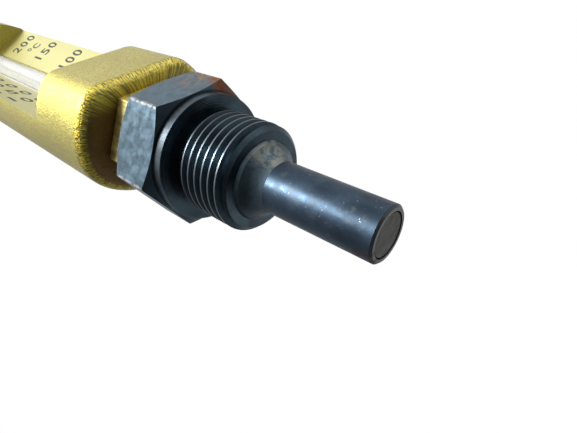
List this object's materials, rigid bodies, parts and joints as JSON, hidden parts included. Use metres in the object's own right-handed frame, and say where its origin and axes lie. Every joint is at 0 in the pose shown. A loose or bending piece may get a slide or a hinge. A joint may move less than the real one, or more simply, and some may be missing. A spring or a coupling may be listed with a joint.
{
  "type": "industrial glass thermometer",
  "caption": "Industrial glass thermometer: a gold case with a V-shaped scale trough and a glass rod, a hex neck it swivels on, and a threaded fitting with an immersion stem.",
  "frame": {"origin": "on the stem axis, in the collar's sealing face", "axes": "+Z along the stem axis towards the top of the case; the scale faces -Y; +X is the Celsius side, the viewer's right"},
  "size_m": [0.036, 0.0278, 0.21],
  "materials": {
    "blackened_steel": "black oxide on turned steel, worn bright on the corners",
    "braze": "matt grey braze",
    "stem_steel": "blued steel, satin",
    "filling": "graphite powder",
    "seal_rubber": "black silicone rubber",
    "seal_fibre": "fibre seal",
    "neck_brass": "machined brass",
    "gold_anodised": "gold anodised aluminium, blasted and extruded faces",
    "screw_steel": "plain steel",
    "white_plastic": "white plastic",
    "clear_glass": "clear glass",
    "opal_glass": "opal enamel",
    "liquid": "dyed filling liquid",
    "spring_steel": "spring wire",
    "plug_gold": "gold anodised, turned"
  },
  "bodies": {
    "stem_assembly": {"threaded_fitting": "blackened_steel", "weld_fillet": "braze", "immersion_tube": "stem_steel", "stem_end_plug": "stem_steel", "heat_filling": "filling", "stem_centring_ring": "seal_rubber", "neck_seal_ring": "seal_fibre", "neck_sleeve": "neck_brass", "swivel_o_ring": "seal_rubber"},
    "case": {"case_body": "gold_anodised", "lock_screw": "screw_steel", "rod_cradle": "white_plastic", "lower_rod_bush": "seal_rubber", "upper_rod_bush": "seal_rubber", "glass_rod": "clear_glass", "opal_strip": "opal_glass", "bulb_liquid": "liquid", "rod_pad": "seal_rubber", "pressure_disc": "screw_steel", "hold_down_spring": "spring_steel", "top_plug_seal": "seal_fibre", "top_plug": "plug_gold"},
    "liquid": {"liquid_thread": "liquid"}
  },
  "joints": [
    {"name": "case_swivel", "type": "hinge", "parent": "stem_assembly", "child": "case", "pos_m": [0, 0, 0.0282], "axis": [0, 0, 1], "continuous": true},
    {"name": "liquid_rise", "type": "slide", "parent": "case", "child": "liquid", "axis": [0, 0, 1], "range_m": [-0.00744, 0.06696]}
  ]
}
